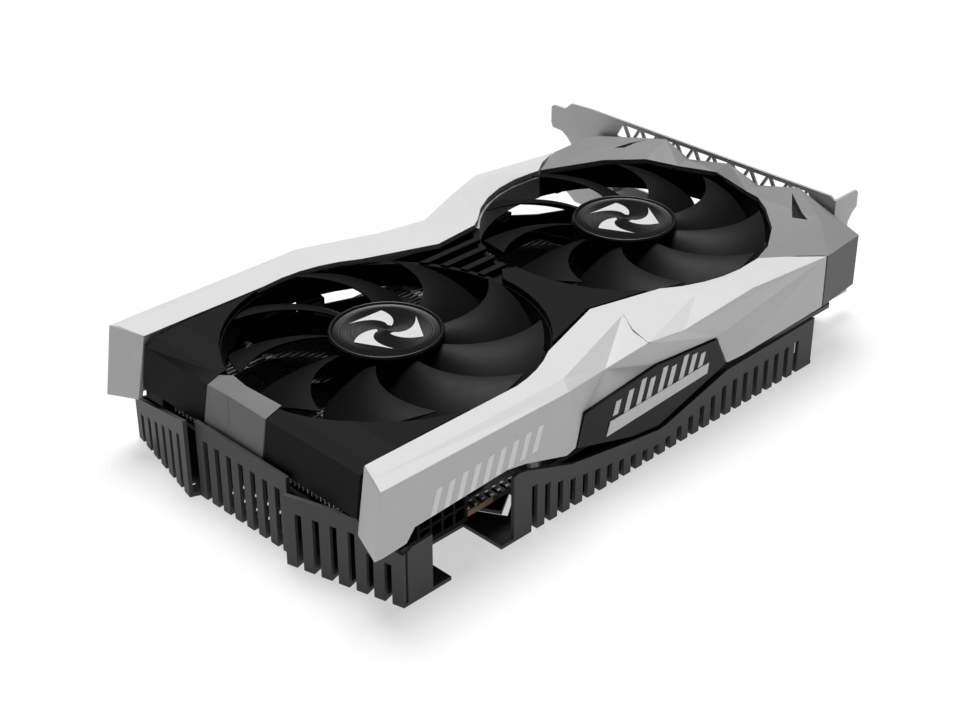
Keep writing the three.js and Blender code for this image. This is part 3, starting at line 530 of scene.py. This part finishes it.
# ---- cooler ----------------------------------------------------------------------------------
FIN_PITCH = 1.75 * MM
FIN_T = 0.3 * MM
FIN_TAB_LENGTH = 2.4 * MM
FIN_TAB_DEPTH = FIN_PITCH * 0.86
FIN_TAB_T = 0.5 * MM


def fin_block(name, low, high, step_x, step_y, tie_xs):
    """Thin fins along X. Those behind step_y stop short at step_x, and tabs tie them together."""
    bm = bmesh.new()
    y = low.y
    while y < high.y:
        x1 = high.x if y < step_y else step_x
        add_block(bm, Vector((low.x, y, low.z)) / MM, Vector((x1, y + FIN_T, high.z)) / MM)
        for x in tie_xs:
            tab_low = Vector((x, y, high.z - FIN_TAB_T)) / MM
            tab_high = Vector((x + FIN_TAB_LENGTH, y + FIN_TAB_DEPTH, high.z)) / MM
            add_block(bm, tab_low, tab_high)
        y += FIN_PITCH
    return from_bmesh(name, bm)


def make_fins():
    """Fine fins in the boxes of the two CAD stacks."""
    stacks = {"main": (24, 30, (-12, 4, 18)), "tail": (-66, 35, (-91, -78, -69))}
    for name, (step_x, step_y, ties) in stacks.items():
        low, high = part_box(f"fin_stack_{name}")
        tie_xs = [x * MM for x in ties]
        block = fin_block(f"fins_{name}", low, high, step_x * MM, step_y * MM, tie_xs)
        place(block, "card", "fin_aluminium", MATERIAL["aluminium"], f"fin_stack_{name}")


def level_curve(points, steps=8):
    """A smooth run through points in X and Y."""
    first, last = points[0], points[-1]
    knots = [Vector(p) for p in (first, *points, last)]
    path = []
    for a, b, c, d in zip(knots, knots[1:], knots[2:], knots[3:]):
        for i in range(steps):
            t = i / steps
            square = 2 * a - 5 * b + 4 * c - d
            cube = 3 * b - a - 3 * c + d
            path.append((2 * b + (c - a) * t + square * t ** 2 + cube * t ** 3) / 2)
    return path + [Vector(last)]


def tube(name, route, height, radius, sides=20):
    """A round tube along a level route in millimetres, drawn down to a tip at each end."""
    path = level_curve(route)
    taper = [0.35, 0.8] + [1] * (len(path) - 4) + [0.8, 0.35]
    vertices = []
    faces = []
    for i, point in enumerate(path):
        along = (path[min(i + 1, len(path) - 1)] - path[max(i - 1, 0)]).normalized()
        for k in range(sides):
            turn = 2 * math.pi * k / sides
            out = radius * taper[i] * math.cos(turn)
            up = radius * taper[i] * math.sin(turn)
            x, y = point.x + along.y * out, point.y - along.x * out
            vertices.append(Vector((x, y, height + up)) * MM)
    for i in range(len(path) - 1):
        for k in range(sides):
            a, b = i * sides + k, i * sides + (k + 1) % sides
            faces.append((a, b, b + sides, a + sides))
    last = (len(path) - 1) * sides
    faces += [tuple(range(sides))[::-1], tuple(range(last, last + sides))]
    return mesh_object(name, vertices, faces)


def make_pipes():
    """Round heat pipes with drawn-down ends, on the CAD routes, a little under 6 mm across."""
    routes = [
        [(44, -15), (27, -13), (-5, -13), (-32, -25), (-52, -27), (-92, -27)],
        [(44, -3), (15, -3), (-35, -3), (-92, -3)],
        [(44, 9), (27, 7), (-5, 7), (-32, 19), (-52, 21), (-92, 21)],
    ]
    height, radius = 17.9, 2.95
    for i, route in enumerate(routes):
        piece = tube(f"pipe_{i + 1}", route, height, radius)
        smooth(piece, 50)
        place(piece, "card", "copper", MATERIAL["nickel"], f"heat_pipe_{i + 1}")


# ---- board -----------------------------------------------------------------------------------
def make_contacts():
    """One gold contact at each 1 mm of the edge connector, on both faces."""
    pitch, width, slack = 1 * MM, 0.7 * MM, 0.01 * MM
    for block in ("power", "data"):
        for face in ("top", "bottom"):
            low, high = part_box(f"contacts_{block}_{face}")
            bm = bmesh.new()
            x = low.x
            while x + width <= high.x + slack:
                near, far = Vector((x, low.y, low.z)), Vector((x + width, high.y, high.z))
                add_block(bm, near / MM, far / MM)
                x += pitch
            piece = from_bmesh(f"fingers_{block}_{face}", bm)
            bevel(piece, 0.04, 1)
            place(piece, "card", "gold", MATERIAL["gold"], f"contacts_{block}_{face}")


def make_board_edge():
    """Bare copper-brown laminate where the board's front edge shows."""
    low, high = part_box("pcb")
    start = Vector((-72 * MM, low.y - 0.08 * MM, low.z))
    end = Vector((-58 * MM, low.y + 0.3 * MM, high.z))
    proud = Vector((0, 0, 0.06 * MM))
    bm = bmesh.new()
    add_block(bm, start / MM, (end + proud) / MM)
    place(from_bmesh("bare_board_edge", bm), "card", "board", MATERIAL["laminate"])


def make_small_parts():
    """Surface-mounted parts in loose rows, clear of the standoffs: dark bodies, bright ends."""
    rng = random.Random(7)
    standoff_xs, clear = (66, -84), 5
    z = (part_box("pcb")[0].z + BOARD_T) / MM
    bodies = bmesh.new()
    ends = bmesh.new()

    def part(x, y, along_x, length, width, height):
        dx, dy = (length / 2, width / 2) if along_x else (width / 2, length / 2)
        add_block(bodies, (x - dx, y - dy, z), (x + dx, y + dy, z + height))
        for sign in (-1, 1):
            cx, cy = (x + sign * dx, y) if along_x else (x, y + sign * dy)
            wx, wy = (0.25, dy) if along_x else (dx, 0.25)
            near, far = cy - wy * 1.02, cy + wy * 1.02
            add_block(ends, (cx - wx, near, z), (cx + wx, far, z + height * 1.03))

    for x in range(-67, -44, 3):
        part(x, -47.6 + rng.uniform(-0.3, 0.3), False, 2.0, 1.2, 0.7)
    for x in range(-14, 62, 4):
        part(x, -47.2 + rng.uniform(-0.4, 0.4), rng.random() < 0.5, 1.8, 1.0, 0.6)
    for row, y in enumerate((44.5, 47.5, 50.5)):
        for x in range(-86, 90, 4):
            if all(abs(x - standoff_x) > clear for standoff_x in standoff_xs):
                part(x + row + rng.uniform(-0.5, 0.5), y, rng.random() < 0.6, 1.8, 1.0, 0.6)
    for x in range(-90, -66, 4):
        for y in range(24, 42, 4):
            if abs(x + 84) > clear or abs(y - 40) > clear:
                part(x, y, rng.random() < 0.5, 2.0, 1.2, 0.8)
    for x in (58, 63, 68, 73, 78):
        for y in range(-38, 38, 6):
            part(x + rng.uniform(-0.6, 0.6), y, rng.random() < 0.5, 2.2, 1.4, 0.9)
    place(from_bmesh("small_part_bodies", bodies), "card", "chip", MATERIAL["chip"])
    place(from_bmesh("small_part_ends", ends), "card", "can", MATERIAL["can"])


# ---- shroud details ----------------------------------------------------------------------------
BAR_PITCH = 4.6


def make_plate_bars():
    """Plain slanted white bars on the dark side plate."""
    bm = bmesh.new()
    face = (FRONT_Y + 0.1 * MM) / MM
    width, middle_z = 2.1, 24.6
    heights = (4.2, 6.6, 9.0, 6.6, 9.0, 6.6, 9.0, 6.6, 4.2)
    for i, height in enumerate(heights):
        x = -19.5 + i * BAR_PITCH
        z = middle_z - height / 2
        slant = height * 0.3
        outline = [(x, z), (x + width, z), (x + width + slant, z + height), (x + slant, z + height)]
        add_side_prism(bm, outline, face - 0.12, face + 0.3)
    place(from_bmesh("side_plate_bars", bm), "card", "light_diffuser", MATERIAL["light"])


def make_silver_bars(trim):
    """Plain slanted pale bars, laid on the front trim's sloping side."""
    outside, inward = -0.1, Vector((0, 1, 0))
    proud, sunk = Vector((0, -0.06 * MM, 0)), Vector((0, 0.25 * MM, 0))
    first_x, count, height = -88.6, 9, 7.4
    box_faces = [(0, 1, 2, 3), (7, 6, 5, 4), (0, 4, 5, 1), (1, 5, 6, 2), (2, 6, 7, 3), (3, 7, 4, 0)]
    vertices = []
    faces = []
    for i in range(count):
        x = first_x + i * BAR_PITCH
        z = 23.4 + 0.05 * (x - first_x)
        corners = [(x, z), (x + 2.0, z), (x + 4.4, z + height), (x + 2.4, z + height)]
        rays = [Vector((cx * MM, outside, cz * MM)) for cx, cz in corners]
        hits = [trim.ray_cast(ray, inward)[0] for ray in rays]
        start = len(vertices)
        vertices += [hit + proud for hit in hits]
        vertices += [hit + sunk for hit in hits]
        faces += [tuple(start + v for v in face) for face in box_faces]
    bars = mesh_object("silver_side_bars", vertices, faces)
    place(bars, "card", "silver_plastic", MATERIAL["pale"])


def skin_of(node):
    """A CAD node's surface with its softened edges, to cast rays at."""
    return BVHTree.FromObject(frame["nodes"][node], bpy.context.evaluated_depsgraph_get())


def surface_height(skin, x, y, start, down=True):
    """Where a vertical ray from a height, all in millimetres, meets a skin. None if it misses."""
    hit = skin.ray_cast(Vector((x, y, start)) * MM, Vector((0, 0, -1 if down else 1)))[0]
    return None if hit is None else hit.z / MM


def make_vent_backing(cover):
    """Dark plugs just below the cover, behind its two triangular vents and a little wider. They
    stand in for the shade inside the vents.
    """
    vents = ([(97.6, -29.6), (89.2, -36.2), (91.4, -40.6)], [(98.6, 31), (90, 39), (91.3, 35.6)])
    above, usual_top = 60, 36
    wider, below, depth = 0.15, 2.1, Vector((0, 0, 2 * MM))
    for i, corners in enumerate(vents):
        middle = [sum(c[k] for c in corners) / 3 for k in (0, 1)]
        vertices = []
        for x, y in corners:
            x, y = x + (x - middle[0]) * wider, y + (y - middle[1]) * wider
            top = surface_height(cover, x, y, above) or usual_top
            vertices.append(Vector((x, y, top - below)) * MM)
        vertices += [v - depth for v in vertices]
        faces = [(0, 1, 2), (5, 4, 3), (0, 3, 4, 1), (1, 4, 5, 2), (2, 5, 3, 0)]
        piece = mesh_object(f"vent_plug_{i + 1}", vertices, faces)
        place(piece, "card", "black_plastic", MATERIAL["black"])


def make_opening_liner(cover):
    """The right opening's wall, a column each degree, up to the underside of the cover."""
    inner, outer, sampled = 46.2, 46.9, 47.3
    foot, lowest_top, gap = 34, 35, 0.15
    columns = []
    for step in range(241):
        angle = math.radians(-60 + step)
        x, y = FAN_X / MM + sampled * math.cos(angle), sampled * math.sin(angle)
        top = surface_height(cover, x, y, foot, down=False)
        columns.append((angle, None if top is None else top - gap))
    vertices = []
    faces = []
    last = None
    for angle, top in columns:
        if top is None or top < lowest_top:
            last = None
            continue
        start = len(vertices)
        for r in (inner, outer):
            x, y = FAN_X / MM + r * math.cos(angle), r * math.sin(angle)
            vertices += [Vector((x, y, foot)) * MM, Vector((x, y, top)) * MM]
        if last is not None:
            a, b = last, start
            faces += [(a, a + 1, b + 1, b), (a + 2, b + 2, b + 3, a + 3),
                      (a + 1, a + 3, b + 3, b + 1), (a, b, b + 2, a + 2)]
        last = start
    liner = mesh_object("opening_liner", vertices, faces)
    place(liner, "card", "black_plastic", MATERIAL["black"])


def make_waist_wall():
    """The rear trim's inner face where it forms the wall of the right opening."""
    first, last, steps = 79, 136, 24
    turns = [math.radians(first + (last - first) * i / steps) for i in range(steps + 1)]
    section = [(45.5, 28.6), (45.5, 36.1), (49.4, 36.4), (49.4, 36.1), (45.9, 35.9), (45.9, 28.6)]
    vertices = []
    faces = []
    count = len(section)
    for a in turns:
        for r, z in section:
            x, y = FAN_X / MM + r * math.cos(a), r * math.sin(a)
            vertices.append(Vector((x, y, z)) * MM)
    for i in range(len(turns) - 1):
        for k in range(count):
            a, b = i * count + k, i * count + (k + 1) % count
            faces.append((a, b, b + count, a + count))
    end = (len(turns) - 1) * count
    faces += [tuple(range(count))[::-1], tuple(range(end, end + count))]
    piece = mesh_object("waist_wall", vertices, faces)
    smooth(piece, 30)
    place(piece, "card", "silver_plastic", MATERIAL["silver"])


def make_rear_walls():
    """Dark inner walls behind the rear trim, with two posts and a bright clip at the tail."""
    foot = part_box("pcb")[1].z / MM + 0.2
    bm = bmesh.new()
    add_block(bm, (-95, 53, foot), (-40, 54, 22))
    tail_wall = [(-47, foot), (-6, foot), (-8, 15.5), (-33, 20.5), (-47, 22)]
    add_side_prism(bm, tail_wall, 50.6, 51.6)
    add_block(bm, (-4, 50.6, foot), (45, 51.6, 24.5))
    add_side_prism(bm, [(45, foot), (96, foot), (96, 11.5), (66, 18), (45, 24.5)], 50.6, 51.6)
    add_block(bm, (-70, 46, foot), (-58, 51.5, 19))
    place(from_bmesh("rear_inner_walls", bm), "card", "black_plastic", MATERIAL["black"])
    bm = bmesh.new()
    for x, y in ((-62.9, 48), (-67, 49.6)):
        where = Matrix.Translation(Vector((x, y, 21.5)) * MM)
        bmesh.ops.create_cone(bm, cap_ends=True, segments=24, radius1=1.3 * MM,
                              radius2=1.2 * MM, depth=5 * MM, matrix=where)
    place(from_bmesh("wall_posts", bm), "card", "black_plastic", MATERIAL["sheet"])
    bm = bmesh.new()
    add_block(bm, (-79, 37.8, 23.8), (-66.4, 39.2, 24.6))
    add_block(bm, (-67.8, 39.2, 23.8), (-66.4, 43.6, 24.6))
    clip = place(from_bmesh("fin_clip", bm), "card", "can", MATERIAL["can"])
    bevel(clip, 0.15)


# ---- setting -----------------------------------------------------------------------------------
def make_camera():
    """The photograph's view, worked out from the fan rims and the trim edges."""
    data = bpy.data.cameras.new("camera")
    data.sensor_width = 36
    data.lens = 65.95125
    data.clip_start = 0.01
    data.clip_end = 20
    camera = add_object("camera", data)
    target = Vector((-3.065, 10.5, 5.496)) * MM
    azimuth, elevation, distance = math.radians(-45), math.radians(30.302), 542.304 * MM
    back = Vector((
        math.sin(azimuth) * math.cos(elevation),
        -math.cos(azimuth) * math.cos(elevation),
        math.sin(elevation),
    ))
    camera.location = target + back * distance
    camera.rotation_mode = "QUATERNION"
    camera.rotation_quaternion = (-back).to_track_quat("-Z", "Y")
    bpy.context.scene.camera = camera


def sun(name, power, spread, aim):
    """A sun that is so many degrees wide and shines along a direction."""
    data = bpy.data.lights.new(name, "SUN")
    data.energy = power
    data.angle = math.radians(spread)
    light = add_object(name, data)
    light.rotation_mode = "QUATERNION"
    light.rotation_quaternion = Vector(aim).to_track_quat("-Z", "Y")


def make_studio():
    """A pale floor that glows so that it stays white, under one broad overhead sun."""
    bm = bmesh.new()
    bmesh.ops.create_grid(bm, x_segments=1, y_segments=1, size=6)
    floor = from_bmesh("floor", bm)
    floor.location.z = FLOOR_Z - 0.02 * MM
    g = Graph("floor")
    g.drive("Base Color", g.ramp(g.noise(3), (0.3, (0.4, 0.4, 0.4)), (0.7, (0.42, 0.42, 0.42))))
    g.fix("Roughness", 0.9)
    g.fix("Specular IOR Level", 0.1)
    g.fix("Emission Color", (1, 1, 1, 1))
    g.fix("Emission Strength", 0.57)
    floor.data.materials.append(g.material)

    world = bpy.data.worlds.new("studio")
    world.use_nodes = True
    background = world.node_tree.nodes["Background"]
    background.inputs["Color"].default_value = (1, 1, 1, 1)
    background.inputs["Strength"].default_value = 0.04
    bpy.context.scene.world = world
    sun("overhead", 3.7, 38, (-0.22, -0.28, -1))


make_camera()
dress_cad_nodes()
make_fans()
make_fins()
make_pipes()
make_contacts()
make_board_edge()
make_small_parts()
make_plate_bars()
make_silver_bars(skin_of("front_trim"))
cover_skin = skin_of("end_cover")
make_vent_backing(cover_skin)
make_opening_liner(cover_skin)
make_waist_wall()
make_rear_walls()
make_studio()

bpy.context.scene.view_settings.view_transform = "Standard"
